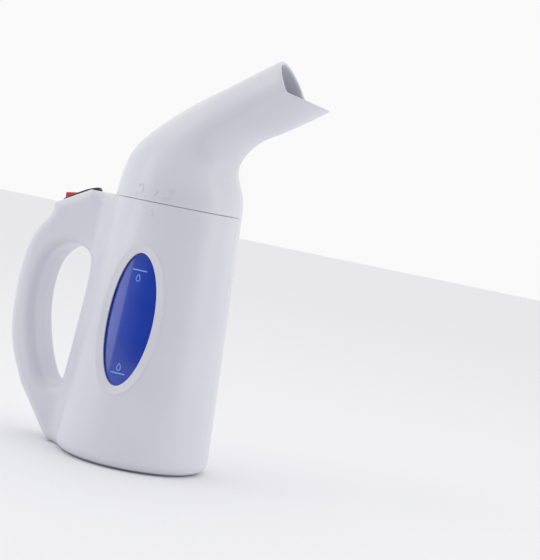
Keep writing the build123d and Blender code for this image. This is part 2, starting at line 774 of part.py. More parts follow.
def blade_side(side, y):
    """A point beside the middle of a switch blade; side 1 is the rear blade and -1 the front one."""
    across_y = frame_side(switch_frame) * y
    return switch_frame.from_local_coords(Vector(side * terminal_pitch / 2, across_y, -switch_deep - terminal_l / 2))


# two lanes for the leads, side by side near the left wall
outer_lane = handle_w / 2 - handle_wall - lead_r - 0.5
inner_lane = outer_lane - 2 * lead_r - 0.4
blade_top = element_z - thermostat_h
blade_side_x = 5.4
blade_hold = blade_top - 3.5


def grip_run(y):
    """The leads' way up the grip in one lane, past the clamp and both screw bosses."""
    top_boss, low_boss = side_screw_places()[:2]
    clamp = clamp_frame().origin
    past_clamp = (clamp.X + 1, y, clamp.Z - 1)
    aside = boss_r + lead_r + 0.5
    past_low = (low_boss[0] + entry_in[0] * aside, y, low_boss[1] + entry_in[2] * aside)
    under_hole = ((past_clamp[0] + past_low[0]) / 2 - entry_in[0] * 1.8, y,
                  (past_clamp[2] + past_low[2]) / 2 - entry_in[2] * 1.8)
    past_top = (top_boss[0] + boss_r + 2.4, y, top_boss[1] - 1.0)
    return [past_clamp, under_hole, past_low, grip_middle(0.34, y), grip_middle(0.47, y), grip_middle(0.62, y), past_top]


def lead_live():
    """Terminal block to the switch's front blade, in the outer lane."""
    x0, x1, y0, y1, z0 = block_corners()
    x, z = x0 + block_l * 0.25, z0 + block_h * 0.4
    return lead([(x, y1 - 2, z), (x, outer_lane, z)] + grip_run(outer_lane)
                + [blade_side(-1, outer_lane), blade_side(-1, terminal_w / 2)])


def lead_switched():
    """Thermostat to the switch's rear blade, in the inner lane."""
    return lead([(-blade_side_x, 0, blade_hold), (-blade_side_x - 6.5, 0, blade_hold),
                 (element_x - 6, inner_lane - 1.4, blade_hold + 2)] + grip_run(inner_lane)
                + [blade_side(1, inner_lane), blade_side(1, terminal_w / 2)])


def lead_neutral():
    """Terminal block to the element's right-hand pin."""
    x0, x1, y0, y1, z0 = block_corners()
    x, z = x0 + block_l * 0.75, z0 + block_h * 0.4
    return lead([(x, y0 + 2, z), (x, -element_y, z), (element_x, -element_y, z + 3),
                 (element_x, -element_y, element_pin_z)])


def lead_link():
    """Thermostat to the thermal fuse."""
    z = element_z - fuse_r
    end = fuse_l / 2 + 3
    return lead([(blade_side_x, 0, blade_hold), (end + 3, 0, blade_hold), (end + 3, fuse_y, blade_hold + 2.5),
                 (end + 3, fuse_y, z), (end, fuse_y, z)])


def lead_fuse():
    """Thermal fuse to the element's left-hand pin."""
    z = element_z - fuse_r
    end = fuse_l / 2 + 3
    low = element_pin_z - 7
    return lead([(-end, fuse_y, z), (-end - 3, fuse_y, z), (-end - 3, fuse_y, low + 2), (element_x, element_y, low),
                 (element_x, element_y, element_pin_z)])


NODES = {}


def build():
    whole = housing_whole()
    NODES["housing_right"] = housing_half(whole, -1)
    NODES["housing_left"] = housing_half(whole, 1)
    makers = [housing_screws, base_cover, base_screws, water_tank, heater_plate, heater_element, heater_gasket,
              heater_screws, thermostat, thermal_fuse, fuse_bracket, switch_body, switch_rocker, switch_terminals,
              cord_grommet, cord_clamp, cord_clamp_screws, terminal_block, filler_collar, collar_ring,
              head_lock_ring, head_seal, splash_baffle, lead_live, lead_switched, lead_neutral,
              lead_link, lead_fuse]
    for make in makers:
        NODES[make.__name__] = make()
    NODES["head_shell_right"] = head_shell(-1)
    NODES["head_shell_left"] = head_shell(1)
    for name, piece in NODES.items():
        export_step(piece, f"parts/{name}.step")


if __name__ == "__main__":
    build()
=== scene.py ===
"""Hand-held garment steamer: finished shells, tank, switch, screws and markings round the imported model.

Lengths are in millimetres until a mesh is made, and metres after that, as in the frame.
+X is the nozzle side, -X the handle, and "right" is the -Y half.
"""
import json
import math

import bmesh
import bpy
import numpy as np
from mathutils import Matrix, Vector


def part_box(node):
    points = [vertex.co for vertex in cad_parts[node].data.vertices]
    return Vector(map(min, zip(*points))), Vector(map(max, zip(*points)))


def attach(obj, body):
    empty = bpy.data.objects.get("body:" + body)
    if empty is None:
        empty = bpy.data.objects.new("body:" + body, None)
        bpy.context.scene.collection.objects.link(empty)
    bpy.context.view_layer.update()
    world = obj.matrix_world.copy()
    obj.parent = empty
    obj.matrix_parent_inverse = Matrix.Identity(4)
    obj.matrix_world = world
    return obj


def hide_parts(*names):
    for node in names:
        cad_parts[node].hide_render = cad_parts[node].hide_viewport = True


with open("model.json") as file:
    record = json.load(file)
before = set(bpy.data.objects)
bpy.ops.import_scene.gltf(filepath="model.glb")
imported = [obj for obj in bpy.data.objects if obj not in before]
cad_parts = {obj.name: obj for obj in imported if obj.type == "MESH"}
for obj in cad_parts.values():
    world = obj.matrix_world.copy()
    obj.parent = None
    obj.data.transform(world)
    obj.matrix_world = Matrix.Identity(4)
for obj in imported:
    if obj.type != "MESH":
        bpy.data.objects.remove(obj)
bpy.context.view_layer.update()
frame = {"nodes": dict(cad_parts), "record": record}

import openvdb
from mathutils import Matrix, Vector
from mathutils.bvhtree import BVHTree

# ------------------------------------------------------------------ sizes, from the frame where it has them
mm = 0.001


def node_box(node):
    """A CAD node's lowest and highest corner in millimetres."""
    return [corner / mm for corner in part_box(node)]


housing_low = node_box("housing_right")[0]
head_low, head_high = node_box("head_shell_right")
cover_high = node_box("base_cover")[1]
collar_high = node_box("filler_collar")[1]
tank_low = node_box("water_tank")[0]
mounts = {m["name"]: m for m in frame["record"]["mounts"]}

floor_gap = housing_low.z
head_z = head_low.z
seam_z = head_z - 0.3
seam_r = -head_low.y
base_r = 45.6                   # the cone's radius at the floor, before its edge is rounded
base_edge = 6.0
wall = 2.4
shell_wall = 2.6
ledge_z = seam_z - 0.8
grip_half = 15.0
grip_edge = 6.0
junction_r = 9.0                # softness where the handle grows out of the body
cover_hole_r = cover_high.x + 0.3
cover_top = cover_high.z
collar_hole_r = collar_high.x + 0.3
parting = 0.04                  # half the fine gap between the two halves
window_z = 84.0
window_half_h, window_half_w = 42.2, 18.4       # outside the bevel
window_bevel = 4.0
window_land = 1.1               # straight edge left under the bevel
side_screw_seat = 8.0           # depth of the screw heads' seats from the mid-plane
boss_r, clear_r, head_clear_r, pilot_r = 3.2, 1.75, 3.0, 1.2
cover_post_ring = 31.5          # the base cover's posts stand on a circle of this radius
cover_post_h = 9.0
rib_t = 1.8                     # ribs that tie the posts to the wall
tank_rest_r = 37.5              # the tank stands on a ledge that starts here
gland_hole_r, gland_hole_deep = 5.6, 9.0
clamp_set, clamp_half_l, clamp_half_h = 16.0, 5.0, 10.2     # the cord clamp's pad, from the entry
clamp_screw_off, clamp_boss_r, clamp_gap = 8.0, 2.7, 3.0
switch_hole_half_l, switch_hole_half_w, switch_hole_deep = 10.8, 6.6, 18.0
edge_soft = 0.5                 # softening of every cut edge

# marks: places from the seam, the window's centre and the middle of the rocker
body_arrow_drop, head_arrow_rise = 6.0, 5.3
lock_rise, lock_arrow_rise = 5.6, 2.6
closed_lock_x, open_lock_x = -9.8, 7.5
open_shift = 1.9                # how far an open padlock's bow stands aside
level_rises = ((28.1, -4.2), (-30.9, 3.6))      # each level line, and its drop sign from there
sign_set = 4.2                  # the rocker's signs, either side of its middle

# handle in the side view: reach beyond the body's wall, share of the ledge's height
grip_back = [(37.4, 0.895), (43.9, 0.819), (48.7, 0.686), (48.5, 0.533), (43.7, 0.36), (30.8, 0.196)]
finger_hole = [(17.0, 0.784), (29.8, 0.739), (35.2, 0.619), (33.2, 0.486), (28.6, 0.386), (21.8, 0.286),
               (13.0, 0.226), (6.2, 0.234), (3.4, 0.30), (2.8, 0.499), (3.2, 0.68), (7.0, 0.76)]
heel_reach = 6.2
switch_front = (-(seam_r + 13.8), seam_z + 1.3)
switch_slope = math.radians(27.9)
switch_run = 27.2
switch_rear = (switch_front[0] - switch_run * math.cos(switch_slope),
               switch_front[1] - switch_run * math.sin(switch_slope))

# steam head: x, rise above the seam, half height, half width, tilt in degrees
neck = [(0.0, -6.0, 37.2, 37.2, 0.0), (0.0, 0.0, 37.2, 37.2, 0.0), (-0.2, 11.5, 36.0, 36.0, 1.0),
        (-0.5, 25.0, 31.7, 32.2, 5.0), (4.4, 36.0, 26.8, 27.1, 11.0), (16.2, 48.9, 22.2, 22.5, 21.0),
        (31.2, 60.0, 18.9, 18.7, 39.5), (49.4, 71.9, 19.0, 17.0, 56.0), (63.5, 81.4, 19.0, 17.0, 56.0),
        (77.6, 90.9, 19.0, 17.0, 56.0)]
head_wall = 2.4
lip_round = 1.15
upper_lip, mouth_corner, lower_lip = (47.2, 92.6), (57.8, 74.6), (80.3, 69.3)


def body_r(z):
    """Outside radius of the round body at a height."""
    return base_r + (seam_r - base_r) * z / seam_z


def behind(reach, share):
    """A point of the handle in the side view."""
    z = share * ledge_z
    return (-(body_r(z) + reach), z)


# ------------------------------------------------------------------ finishes
def linear(colour, alpha=1.0):
    """An sRGB hex colour as linear red, green, blue and alpha."""
    parts = [int(colour[i:i + 2], 16) / 255 for i in (1, 3, 5)]
    return [p / 12.92 if p <= 0.04045 else ((p + 0.055) / 1.055) ** 2.4 for p in parts] + [alpha]


def add(tree, kind, settings=None, links=None):
    """Adds a node, gives it its settings, and links its inputs to (node, output) pairs."""
    made = tree.nodes.new(kind)
    for name, value in (settings or {}).items():
        if isinstance(name, int) or name in made.inputs:
            made.inputs[name].default_value = value
        else:
            setattr(made, name, value)
    for name, (source, output) in (links or {}).items():
        tree.links.new(source.outputs[output], made.inputs[name])
    return made


def per_mm(size):
    """Texture scale for a pattern of this size in millimetres."""
    return 1 / (size * mm)


def material(name, **sockets):
    """A material with one Principled shader, its plain values set on the shader."""
    made = bpy.data.materials.new(name)
    made.use_nodes = True
    tree = made.node_tree
    tree.nodes.clear()
    shader = add(tree, "ShaderNodeBsdfPrincipled", {k.replace("_", " "): v for k, v in sockets.items()})
    add(tree, "ShaderNodeOutputMaterial", links={"Surface": (shader, "BSDF")})
    place = add(tree, "ShaderNodeTexCoord")
    made.diffuse_color = shader.inputs["Base Color"].default_value
    return made, tree, shader, place


def grain(tree, shader, place, size, height, detail=2.0, rough=None, patch=14.0, stretch=None):
    """Fine relief of a size and height in millimetres, and a slow swing of the roughness over larger patches."""
    vector = (place, "Object")
    if stretch:
        drawn = add(tree, "ShaderNodeMapping", {"Scale": stretch}, {"Vector": vector})
        vector = (drawn, "Vector")
    relief = add(tree, "ShaderNodeTexNoise", {"Scale": per_mm(size), "Detail": detail}, {"Vector": vector})
    bump = add(tree, "ShaderNodeBump", {"Strength": 1.0, "Distance": height * mm}, {"Height": (relief, "Fac")})
    tree.links.new(bump.outputs["Normal"], shader.inputs["Normal"])
    if rough:
        cloud = add(tree, "ShaderNodeTexNoise", {"Scale": per_mm(patch), "Detail": 3.0}, {"Vector": vector})
        swing = add(tree, "ShaderNodeMapRange", {"From Min": 0.35, "From Max": 0.65, "To Min": rough[0],
                                                 "To Max": rough[1]}, {"Value": (cloud, "Fac")})
        tree.links.new(swing.outputs["Result"], shader.inputs["Roughness"])
    return relief


def tinted(tree, shader, source, low, high, ends=(0.3, 0.7)):
    """Colour that wanders between two hex colours with a pattern's value."""
    ramp = add(tree, "ShaderNodeValToRGB", links={"Fac": (source, "Fac")})
    for stop, (spot, colour) in zip(ramp.color_ramp.elements, zip(ends, (low, high))):
        stop.position = spot
        stop.color = linear(colour)
    tree.links.new(ramp.outputs["Color"], shader.inputs["Base Color"])


def moulded_abs():
    """White ABS from a polished mould: soft wide highlights with the faint orange peel that moulding leaves."""
    made, tree, shader, place = material("moulded_abs", Roughness=0.3, IOR=1.54, Coat_Weight=0.25,
                                         Coat_Roughness=0.12)
    grain(tree, shader, place, size=3.0, height=0.0015, detail=0.0, rough=(0.3, 0.34), patch=18)
    flow = add(tree, "ShaderNodeTexNoise", {"Scale": per_mm(60), "Detail": 2.0}, {"Vector": (place, "Object")})
    tinted(tree, shader, flow, "#DEDEE8", "#E4E4EC")
    return made


def spark_textured_abs():
    """White ABS from a spark-eroded mould: an even fine grit that kills the gloss."""
    made, tree, shader, place = material("spark_textured_abs", Roughness=0.55, IOR=1.54)
    pits = grain(tree, shader, place, size=0.45, height=0.03, rough=(0.5, 0.62))
    tinted(tree, shader, pits, "#D6D6DE", "#E0E0E8")
    return made


def clear_blue_polycarbonate():
    """Tinted clear polycarbonate, blown and glossy: light goes in and comes back a deep even blue."""
    made, tree, shader, place = material("clear_blue_polycarbonate", Roughness=0.08, IOR=1.585,
                                         Transmission_Weight=0.35, Coat_Weight=0.6, Coat_Roughness=0.04)
    grain(tree, shader, place, size=5.0, height=0.01, rough=(0.06, 0.14), patch=20)
    cloud = add(tree, "ShaderNodeTexNoise", {"Scale": per_mm(24), "Detail": 2.0}, {"Vector": (place, "Object")})
    tinted(tree, shader, cloud, "#0E3FCB", "#2058E0")
    return made


def grey_nylon():
    """Heat-resistant filled nylon: a dull grey with short fibre streaks at the surface."""
    made, tree, shader, place = material("grey_nylon", Roughness=0.5, IOR=1.53)
    streaks = grain(tree, shader, place, size=1.0, height=0.01, rough=(0.42, 0.58), stretch=(1, 1, 0.25))
    tinted(tree, shader, streaks, "#A6A9B2", "#B4B7BE")
    return made


def zinc_steel():
    """Zinc-plated steel: a bright cool grey with a fine cloudy spangle."""
    made, tree, shader, place = material("zinc_steel", Metallic=1.0, Roughness=0.3)
    spangle = add(tree, "ShaderNodeTexVoronoi", {"Scale": per_mm(0.8)}, {"Vector": (place, "Object")})
    grain(tree, shader, place, size=0.3, height=0.004, rough=(0.24, 0.4), patch=1.5)
    shade = add(tree, "ShaderNodeMapRange", {"To Min": 0.3, "To Max": 0.7}, {"Value": (spangle, "Distance")})
    ramp = add(tree, "ShaderNodeValToRGB", links={"Fac": (shade, "Result")})
    ramp.color_ramp.elements[0].color = linear("#B9BDC2")
    ramp.color_ramp.elements[1].color = linear("#D8DADC")
    tree.links.new(ramp.outputs["Color"], shader.inputs["Base Color"])
    return made


def cast_aluminium():
    """Die-cast aluminium: light grey with the pebbled skin that the die leaves."""
    made, tree, shader, place = material("cast_aluminium", Metallic=1.0, Roughness=0.45)
    skin = grain(tree, shader, place, size=0.9, height=0.03, detail=4.0, rough=(0.38, 0.55), patch=6)
    tinted(tree, shader, skin, "#B6B7B9", "#CBCCCE")
    return made


def heated_stainless():
    """Stainless tube that has been red hot: straw and grey-brown bands over a satin grey."""
    made, tree, shader, place = material("heated_stainless", Metallic=1.0, Roughness=0.35)
    grain(tree, shader, place, size=0.5, height=0.006, rough=(0.3, 0.44), patch=5)
    heat = add(tree, "ShaderNodeTexNoise", {"Scale": per_mm(9), "Detail": 3.0}, {"Vector": (place, "Object")})
    tinted(tree, shader, heat, "#8A7F76", "#B3AEA6")
    return made


def pressed_aluminium():
    """Pressed aluminium cap: bright, with rings from the press tool."""
    made, tree, shader, place = material("pressed_aluminium", Metallic=1.0, Roughness=0.28)
    rings = add(tree, "ShaderNodeTexWave", {"wave_type": "RINGS", "rings_direction": "Z", "Scale": per_mm(3.0),
                                            "Distortion": 0.4}, {"Vector": (place, "Object")})
    bump = add(tree, "ShaderNodeBump", {"Distance": 0.004 * mm}, {"Height": (rings, "Fac")})
    tree.links.new(bump.outputs["Normal"], shader.inputs["Normal"])
    tinted(tree, shader, rings, "#C6C8CA", "#D4D5D6")
    return made


def silicone_rubber():
    """Milky silicone: soft and slightly see-through, with a waxy sheen."""
    made, tree, shader, place = material("silicone_rubber", Roughness=0.45, IOR=1.41, Subsurface_Weight=0.3,
                                         Subsurface_Scale=0.002)
    cloud = grain(tree, shader, place, size=1.5, height=0.01, rough=(0.4, 0.52))
    tinted(tree, shader, cloud, "#D0D1D4", "#DCDDE0")
    return made


def grey_rubber():
    """Moulded rubber: matt, with a fine bloom that lightens it in patches."""
    made, tree, shader, place = material("grey_rubber", Roughness=0.65, IOR=1.52)
    bloom = grain(tree, shader, place, size=0.8, height=0.02, detail=4.0, rough=(0.55, 0.75), patch=4)
    tinted(tree, shader, bloom, "#B9BAC3", "#C8C9D1")
    return made


def black_nylon():
    """Black nylon from a polished mould: nearly a mirror, with a trace of haze."""
    made, tree, shader, place = material("black_nylon", Roughness=0.18, IOR=1.53, Coat_Weight=0.4,
                                         Coat_Roughness=0.06)
    haze = grain(tree, shader, place, size=1.4, height=0.004, rough=(0.14, 0.24), patch=6)
    tinted(tree, shader, haze, "#08090B", "#101115")
    return made


def red_polycarbonate():
    """Red polycarbonate: strong colour under a clean gloss."""
    made, tree, shader, place = material("red_polycarbonate", Roughness=0.2, IOR=1.585, Coat_Weight=0.5,
                                         Coat_Roughness=0.06, Subsurface_Weight=0.1, Subsurface_Scale=0.001)
    haze = grain(tree, shader, place, size=1.4, height=0.004, rough=(0.16, 0.26), patch=5)
    tinted(tree, shader, haze, "#E4121E", "#F02028")
    return made


def stamped_brass():
    """Stamped brass strip: warm yellow with fine rolling lines along it."""
    made, tree, shader, place = material("stamped_brass", Metallic=1.0, Roughness=0.3)
    lines = grain(tree, shader, place, size=0.4, height=0.004, rough=(0.24, 0.38), stretch=(1, 1, 0.06))
    tinted(tree, shader, lines, "#C9A75A", "#DDBD72")
    return made


def natural_nylon():
    """Unfilled nylon: cream, slightly see-through and waxy."""
    made, tree, shader, place = material("natural_nylon", Roughness=0.42, IOR=1.53, Subsurface_Weight=0.2,
                                         Subsurface_Scale=0.002)
    cloud = grain(tree, shader, place, size=1.2, height=0.01, rough=(0.36, 0.5))
    tinted(tree, shader, cloud, "#E2DFD2", "#EAE8DE")
    return made


def braided_sleeve():
    """Glass-fibre sleeve: a tight braid of 0.5 mm tows, drawn in crossing diagonals."""
    made, tree, shader, place = material("braided_sleeve", Roughness=0.6, IOR=1.5)
    weave = []
    for turn in (45, -45):
        drawn = add(tree, "ShaderNodeMapping", {"Rotation": (0, math.radians(turn), 0)},
                    {"Vector": (place, "Object")})
        weave.append(add(tree, "ShaderNodeTexWave", {"Scale": per_mm(3.2)}, {"Vector": (drawn, "Vector")}))
    cross = add(tree, "ShaderNodeMath", {"operation": "MAXIMUM"}, {0: (weave[0], "Fac"), 1: (weave[1], "Fac")})
    bump = add(tree, "ShaderNodeBump", {"Distance": 0.08 * mm}, {"Height": (cross, "Value")})
    tree.links.new(bump.outputs["Normal"], shader.inputs["Normal"])
    tinted(tree, shader, weave[0], "#CFC9B4", "#E4DFCE")
    return made


def pvc_insulation(name, dark, light):
    """Extruded PVC: smooth and a little waxy, with faint lines along the wire."""
    made, tree, shader, place = material(name, Roughness=0.38, IOR=1.53)
    lines = grain(tree, shader, place, size=1.0, height=0.01, rough=(0.32, 0.46), patch=5)
    tinted(tree, shader, lines, dark, light)
    return made


def pad_print():
    """Pale blue ink printed on the clear tank: thin and slightly uneven."""
    made, tree, shader, place = material("pad_print", Roughness=0.5, IOR=1.5)
    ink = grain(tree, shader, place, size=0.4, height=0.01, rough=(0.45, 0.6), patch=3)
    tinted(tree, shader, ink, "#7FA4F0", "#94B4F6")
    return made


def white_print():
    """White ink in the rocker's signs: thin, dense and matt."""
    made, tree, shader, place = material("white_print", Roughness=0.5, IOR=1.5)
    ink = grain(tree, shader, place, size=0.4, height=0.008, rough=(0.45, 0.6), patch=3)
    tinted(tree, shader, ink, "#EDEDF0", "#F6F6F8")
    return made


def studio_paper():
    """Seamless background paper: matt white with a barely visible tooth."""
    made, tree, shader, place = material("studio_paper", Roughness=0.9, Specular_IOR_Level=0.1)
    tooth = grain(tree, shader, place, size=1.5, height=0.02)
    tinted(tree, shader, tooth, "#F4F4F6", "#F8F8FA")
    return made


# ------------------------------------------------------------------ solid fields and meshes
def smooth_min(a, b, k):
    """Union of two distance fields with a soft joint about k wide."""
    h = np.clip(0.5 + 0.5 * (b - a) / k, 0, 1)
    return b + (a - b) * h - k * h * (1 - h)


def round_max(a, b, r):
    """What two distance fields share, with an edge of radius r."""
    qa, qb = a + r, b + r
    return np.minimum(np.maximum(qa, qb), 0) + np.hypot(np.maximum(qa, 0), np.maximum(qb, 0)) - r


def curve_through(points, steps, closed=False):
    """Points on a cubic spline through the given ones, smooth to its curvature."""
    pts = np.array(list(points) + ([points[0]] if closed else []), float)
    spans = len(pts) - 1
    gap = np.maximum(np.linalg.norm(np.diff(pts, axis=0), axis=1), 1e-6)
    rise = np.diff(pts, axis=0) / gap[:, None]
    rows, side = np.zeros((spans + 1, spans + 1)), np.zeros((spans + 1, pts.shape[1]))
    for i in range(1, spans):
        rows[i, i - 1:i + 2] = gap[i], 2 * (gap[i - 1] + gap[i]), gap[i - 1]
        side[i] = 3 * (gap[i] * rise[i - 1] + gap[i - 1] * rise[i])
    if closed:
        rows[0, [0, 1, spans - 1]] = 2 * (gap[-1] + gap[0]), gap[-1], gap[0]
        side[0] = 3 * (gap[0] * rise[-1] + gap[-1] * rise[0])
        rows[spans, [0, spans]] = -1, 1
    else:
        rows[0, :2], rows[spans, -2:] = (2, 1), (1, 2)
        side[0], side[spans] = 3 * rise[0], 3 * rise[-1]
    slope = np.linalg.solve(rows, side)
    out = []
    for i in range(spans):
        for s in range(steps):
            t = s / steps
            out.append((2 * t ** 3 - 3 * t ** 2 + 1) * pts[i] + (t ** 3 - 2 * t ** 2 + t) * gap[i] * slope[i]
                       + (3 * t ** 2 - 2 * t ** 3) * pts[i + 1] + (t ** 3 - t ** 2) * gap[i] * slope[i + 1])
    if not closed:
        out.append(pts[-1])
    return out


def outline_distance(u, v, outline):
    """Distance of each point of a plane to a closed outline, negative inside it."""
    u, v = np.broadcast_arrays(u, v)
    nearest = np.full(u.shape, 1e9)
    inside = np.zeros(u.shape, bool)
    for (au, av), (bu, bv) in zip(outline, outline[1:] + outline[:1]):
        du, dv = bu - au, bv - av
        length = du * du + dv * dv
        if length < 1e-9:
            continue
        t = np.clip(((u - au) * du + (v - av) * dv) / length, 0, 1)
        nearest = np.minimum(nearest, (u - au - t * du) ** 2 + (v - av - t * dv) ** 2)
        if abs(dv) > 1e-9:
            crosses = ((av > v) != (bv > v)) & (u < du * (v - av) / dv + au)
            inside ^= crosses
    return np.where(inside, -1, 1) * np.sqrt(nearest)


def grid(low, high, step):
    """Coordinates of a box of cells, ready to broadcast."""
    axes = [np.arange(a, b + step, step) for a, b in zip(low, high)]
    return axes[0][:, None, None], axes[1][None, :, None], axes[2][None, None, :]


def field_mesh(name, field, low, step):
    """The surface where a field is zero, as a mesh in millimetres."""
    volume = openvdb.FloatGrid(background=3 * step)
    volume.copyFromArray(np.ascontiguousarray(field, dtype=np.float32))
    points, quads = volume.convertToQuads(isovalue=0.0)
    mesh = bpy.data.meshes.new(name)
    mesh.from_pydata((points * step + np.array(low)).tolist(), [], quads[:, ::-1].tolist())
    return mesh


def cut_flat(bm, point, normal):
    """Cuts away what lies beyond a plane and closes the cut."""
    made = bmesh.ops.bisect_plane(bm, geom=bm.verts[:] + bm.edges[:] + bm.faces[:], plane_co=point,
                                  plane_no=normal, clear_outer=True, dist=1e-4)
    edges = [e for e in made["geom_cut"] if isinstance(e, bmesh.types.BMEdge)]
    bmesh.ops.triangle_fill(bm, edges=edges, use_beauty=True)


def piece(name, mesh, finish, body, replaced=(), sharp=32.0):
    """Makes an object of a millimetre mesh, shades it, ties it to its body, and hides the CAD nodes it replaces."""
    mesh.transform(Matrix.Scale(mm, 4))
    mesh.materials.append(finish)
    mesh.polygons.foreach_set("use_smooth", [True] * len(mesh.polygons))
    mesh.set_sharp_from_angle(angle=math.radians(sharp))
    mesh.update()
    made = bpy.data.objects.new(name, mesh)
    bpy.context.scene.collection.objects.link(made)
    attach(made, body)
    if replaced:
        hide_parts(*replaced)
    return made


def half_piece(name, mesh, side, cuts, finish, body, replaced):
    """One half of a shell: mirrored for the right, cut flat where it meets its neighbours."""
    bm = bmesh.new()
    bm.from_mesh(mesh)
    for point, normal in [((0, parting, 0), (0, -1, 0))] + cuts:
        cut_flat(bm, point, normal)
    if side < 0:
        bmesh.ops.scale(bm, vec=(1, -1, 1), verts=bm.verts)
    bmesh.ops.recalc_face_normals(bm, faces=bm.faces)
    bm.to_mesh(mesh)
    bm.free()
    return piece(name, mesh, finish, body, replaced)


# ------------------------------------------------------------------ housing
def handle_outline():
    """The handle's outer line in the side view."""
    inner = -seam_r * 0.55
    back = curve_through([switch_rear] + [behind(*p) for p in grip_back], 8)[1:]
    heel = (-(body_r(floor_gap) + heel_reach), floor_gap)
    start = [(inner, floor_gap), (inner, ledge_z), (-(seam_r + 6.3), ledge_z), switch_front, switch_rear]
    return start + [tuple(p) for p in back] + [heel]


def window_field(x, z, outside):
    """The flared oval opening: narrow at the tank, and wider by an even bevel at the outside."""
    a, b = window_half_w - window_bevel, window_half_h - window_bevel
    k = np.sqrt((x / a) ** 2 + ((z - window_z) / b) ** 2) + 1e-6
    oval = (k - 1) * k / np.sqrt((x / a ** 2) ** 2 + ((z - window_z) / b ** 2) ** 2 + 1e-9)
    depth = shell_wall - window_land
    slant = math.cos(math.atan2(window_bevel, depth))
    return np.minimum(oval, (oval - window_bevel * (1 + outside / depth)) * slant)


def side_screws():
    """Where the halves are screwed together, in the side view."""
    return [behind(39.2, 0.779), behind(25.4, 0.217), (32.8, floor_gap + 14.2), (2.0, floor_gap + 8.2)]


def entry_frame():
    """The cord entry: its point, the way into the handle, and the way up its back, in the side view."""
    entry = mounts["cord_entry"]
    at = Vector(entry["pos_m"]) / mm
    into = -Vector(entry["axis"])
    return np.array((at.x, at.z)), np.array((into.x, into.z)), np.array((-into.z, into.x))


def housing_field(x, y, z, side):
    """Distance field of one half, drawn on the +Y side of the mid-plane."""
    radius = np.hypot(x, y)
    lean = (base_r - seam_r) / seam_z
    slant = math.hypot(1, lean)
    cone = [(0.0, floor_gap + base_edge), (body_r(floor_gap + base_edge) - base_edge * slant, floor_gap + base_edge),
            (body_r(seam_z + 60) - base_edge * slant, seam_z + 60), (0.0, seam_z + 60)]
    table = np.arange(0, 130, 0.45)
    flat = outline_distance(table[:, None], z[0], cone) - base_edge
    spot = np.clip(radius / 0.45, 0, len(table) - 1.001)
    cell = spot.astype(int)
    part = spot - cell
    level = np.broadcast_to(np.arange(z.shape[2])[None, None, :], np.broadcast_shapes(radius.shape, z.shape))
    cell = np.broadcast_to(cell, level.shape)
    body = flat[cell, level] * (1 - part) + flat[cell + 1, level] * part

    hole = [tuple(p) for p in curve_through([behind(*p) for p in finger_hole], 8, closed=True)]
    side_x, side_z = x[:, 0, :], z[0]
    ring = np.maximum(outline_distance(side_x, side_z, handle_outline()), -outline_distance(side_x, side_z, hole))
    handle = round_max(ring[:, None, :], y - grip_half, grip_edge)
    outside = smooth_min(body, handle, junction_r)

    inside = np.maximum(np.maximum(outside + shell_wall, z - (seam_z - wall)), floor_gap + wall - z)
    shell = np.maximum(outside, -inside)
    fittings = []
    for sx, sz in side_screws():
        fittings.append(np.hypot(x - sx, z - sz) - boss_r)
    angles = [math.radians(45 + 90 * i) for i in range(4)]
    for px, py in [(cover_post_ring * math.cos(a), abs(cover_post_ring * math.sin(a))) for a in angles]:
        post = np.minimum(np.hypot(x - px, y - py) - boss_r,
                          np.maximum(np.abs(y - py) - rib_t / 2, np.where(px > 0, px - x, x - px)))
        fittings.append(np.maximum(post, np.abs(z - cover_top - cover_post_h / 2) - cover_post_h / 2))
    fittings.append(np.maximum(tank_rest_r - radius, np.abs(z - tank_low.z + 1) - 1))
    for fitting in fittings:
        shell = smooth_min(shell, np.maximum(fitting, outside + 0.6), 0.6)

    entry, into, up = entry_frame()
    along = (x - entry[0]) * into[0] + (z - entry[1]) * into[1]
    rise = (x - entry[0]) * up[0] + (z - entry[1]) * up[1]
    if side < 0:
        pad = np.maximum(np.maximum(np.abs(along - clamp_set) - clamp_half_l, np.abs(rise) - clamp_half_h),
                         clamp_gap - y)
        for s in (-1, 1):
            boss = np.hypot(along - clamp_set, rise - clamp_screw_off * s) - clamp_boss_r
            pad = np.minimum(pad, boss)
        shell = np.minimum(shell, np.maximum(pad, outside + 0.6))

    middle = (np.array(switch_front) + np.array(switch_rear)) / 2
    down = np.array((-math.cos(switch_slope), -math.sin(switch_slope)))
    out = np.array((-math.sin(switch_slope), math.cos(switch_slope)))
    u = (x - middle[0]) * down[0] + (z - middle[1]) * down[1]
    v = (x - middle[0]) * out[0] + (z - middle[1]) * out[1]
    cuts = [round_max(np.abs(u) - switch_hole_half_l, y - switch_hole_half_w, 0.3),
            np.hypot(y, rise) - gland_hole_r,
            np.maximum(radius - collar_hole_r, seam_z - wall - 1 - z),
            np.maximum(radius - cover_hole_r, z - cover_top),
            np.maximum(window_field(x, z, outside), 20 - y)]
    cuts[0] = np.maximum(cuts[0], -v - switch_hole_deep)
    cuts[1] = np.maximum(cuts[1], along - gland_hole_deep)
    for sx, sz in side_screws():
        ring = np.hypot(x - sx, z - sz)
        if side > 0:
            cuts += [ring - clear_r, np.maximum(ring - head_clear_r, side_screw_seat - y)]
        else:
            cuts.append(np.maximum(ring - pilot_r, y - side_screw_seat - 2))
    for cut in cuts:
        shell = round_max(shell, -cut, edge_soft)
    return shell


